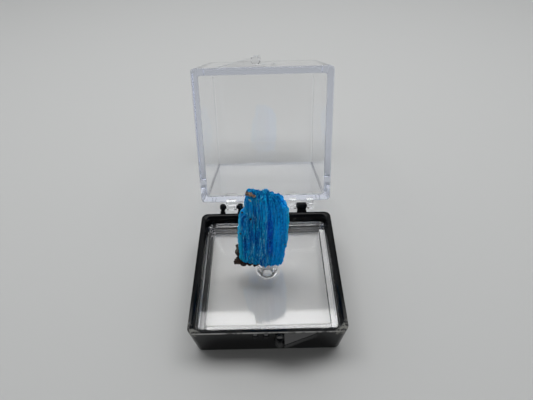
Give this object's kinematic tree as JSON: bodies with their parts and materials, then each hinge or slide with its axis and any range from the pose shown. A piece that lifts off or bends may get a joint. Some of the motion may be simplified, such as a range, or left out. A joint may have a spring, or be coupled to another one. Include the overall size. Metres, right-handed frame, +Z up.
{
  "type": "chalcanthite specimen in a display box",
  "caption": "Blue fibrous chalcanthite with brown matrix, fixed on the post of a clear stand in a small black-and-clear hinged display box, lid open.",
  "frame": {"origin": "middle of the flat underside of the tray", "axes": "+Z up, +Y towards the hinge and the opened lid, +X to the right of someone looking at the front of the box"},
  "size_m": [0.032, 0.0746, 0.0425],
  "materials": {
    "black_plastic": "moulded gloss black, with fine scuffs",
    "white_card": "matt white card",
    "clear_stand_plastic": "clear, polished",
    "blue_crystal": "silky to glassy fibres, deep blue with paler streaks",
    "brown_rock": "rough, earthy",
    "tan_rock": "rough, earthy",
    "clear_lid_plastic": "clear, polished, with a faint lilac tint at its edges"
  },
  "bodies": {
    "base": {"tray": "black_plastic", "floor_pad": "white_card", "clear_stand": "clear_stand_plastic", "chalcanthite": "blue_crystal", "matrix_rock": "brown_rock", "matrix_chip": "tan_rock"},
    "lid": {"lid": "clear_lid_plastic"}
  },
  "joints": [
    {"name": "lid_hinge", "type": "hinge", "parent": "base", "child": "lid", "pos_m": [0, 0.0176, 0.0092], "axis": [1, 0, 0], "range_deg": [0, 113.5]}
  ]
}
